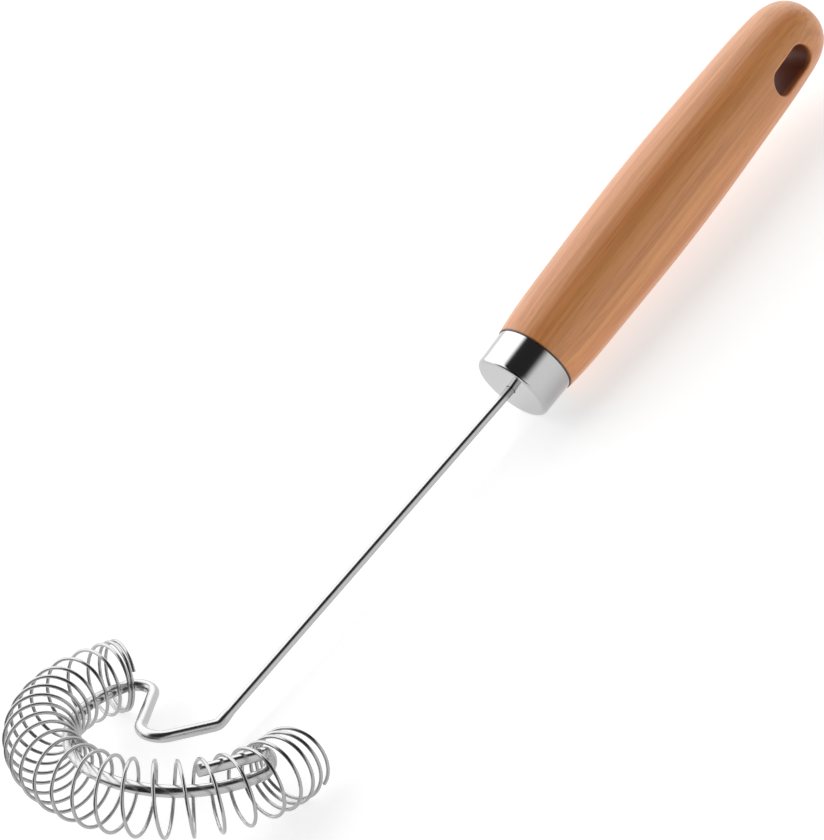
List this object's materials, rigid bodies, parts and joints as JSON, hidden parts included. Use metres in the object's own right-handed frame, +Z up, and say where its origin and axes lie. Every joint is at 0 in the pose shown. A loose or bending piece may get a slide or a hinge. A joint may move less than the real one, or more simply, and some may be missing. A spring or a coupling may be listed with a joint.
{
  "type": "coil whisk",
  "caption": "Coil whisk: a coil spring threaded on a bent steel wire ring, with a long steel shaft, a steel ferrule and a turned beech handle with a hanging slot.",
  "frame": {"origin": "on the table under the middle of the whisk's bounding box, as it lies at rest", "axes": "+X along the handle, from the coil head towards the handle's end; +Z up from the table"},
  "size_m": [0.2895, 0.0825, 0.0384],
  "materials": {
    "beech": "satin",
    "polished_steel": "polished",
    "spring_steel": "polished",
    "epoxy": "clear amber"
  },
  "bodies": {
    "whisk": {"handle": "beech", "ferrule": "polished_steel", "wire_frame": "polished_steel", "glue_plug": "epoxy"},
    "coil": {"coil_spring": "spring_steel"}
  },
  "joints": [
    {"name": "coil_slide", "type": "hinge", "parent": "whisk", "child": "coil", "pos_m": [-0.10826, -0.00006, 0.01228], "axis": [0.527, 0.02, 0.8497], "range_deg": [-2, 20]}
  ]
}
